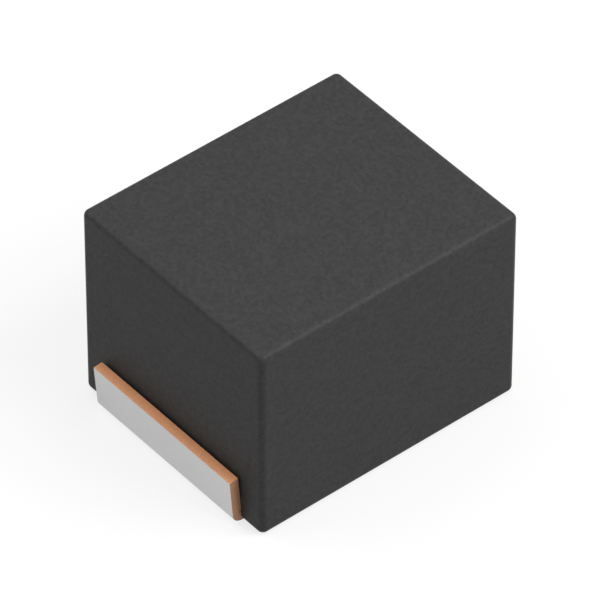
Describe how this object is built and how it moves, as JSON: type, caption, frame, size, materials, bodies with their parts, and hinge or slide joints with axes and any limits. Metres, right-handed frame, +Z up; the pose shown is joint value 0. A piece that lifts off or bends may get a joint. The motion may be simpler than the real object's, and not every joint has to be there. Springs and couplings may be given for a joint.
{
  "type": "shielded smd inductor",
  "caption": "Moulded, magnetically shielded chip inductor in a rounded dark block, with folded tinned strip terminals under and up its two ends.",
  "frame": {"origin": "on the board, under the middle of the part", "axes": "+X along the length to the right-hand terminal, +Y across the width, +Z up from the board through the part's top"},
  "size_m": [0.0032, 0.0024, 0.0022],
  "materials": {
    "moulding_compound": "matt, finely grained",
    "tinned_copper": "dull tin plate on the broad faces, bare copper on the sheared edges",
    "ferrite": "sintered, dull",
    "enamelled_copper": "glossy clear enamel over copper",
    "adhesive": "cured epoxy",
    "solder": "satin solder"
  },
  "bodies": {
    "root": {"moulded_body": "moulding_compound", "left_terminal": "tinned_copper", "right_terminal": "tinned_copper", "shield_sleeve": "ferrite", "drum_core": "ferrite", "winding": "enamelled_copper", "left_core_bond": "adhesive", "right_core_bond": "adhesive", "left_solder_joint": "solder", "right_solder_joint": "solder"}
  },
  "joints": []
}
